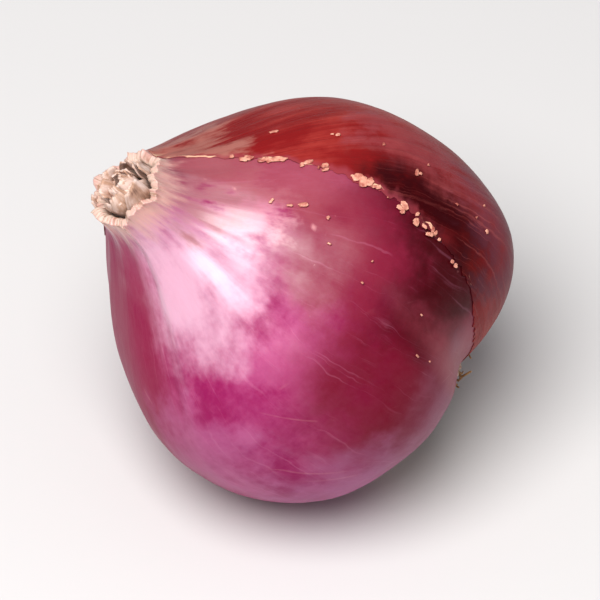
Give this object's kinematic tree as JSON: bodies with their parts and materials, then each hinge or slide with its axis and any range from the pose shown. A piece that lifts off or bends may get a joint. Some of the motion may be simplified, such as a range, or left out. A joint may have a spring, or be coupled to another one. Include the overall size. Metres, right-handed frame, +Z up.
{
  "type": "pink shallot",
  "caption": "Squat round shallot bulb lying on its flank, with a pleated papery neck, withered leaf ends and a tuft of dried rootlets.",
  "frame": {"origin": "middle of the flat spot on the bulb's flank that it rests on", "axes": "+Z up, away from the surface; the neck points towards -X and up, the root end towards +X and down"},
  "size_m": [0.0393, 0.0378, 0.0375],
  "materials": {
    "bulb_skin": "satin papery skin, pink to wine red with fine lengthwise veins, cream at the neck",
    "dry_leaf": "matt, dry and frayed, cream to straw",
    "dry_root": "matt, wiry, golden brown"
  },
  "bodies": {
    "root": {"bulb": "bulb_skin", "neck_leaves": "dry_leaf", "root_tuft": "dry_root"}
  },
  "joints": []
}
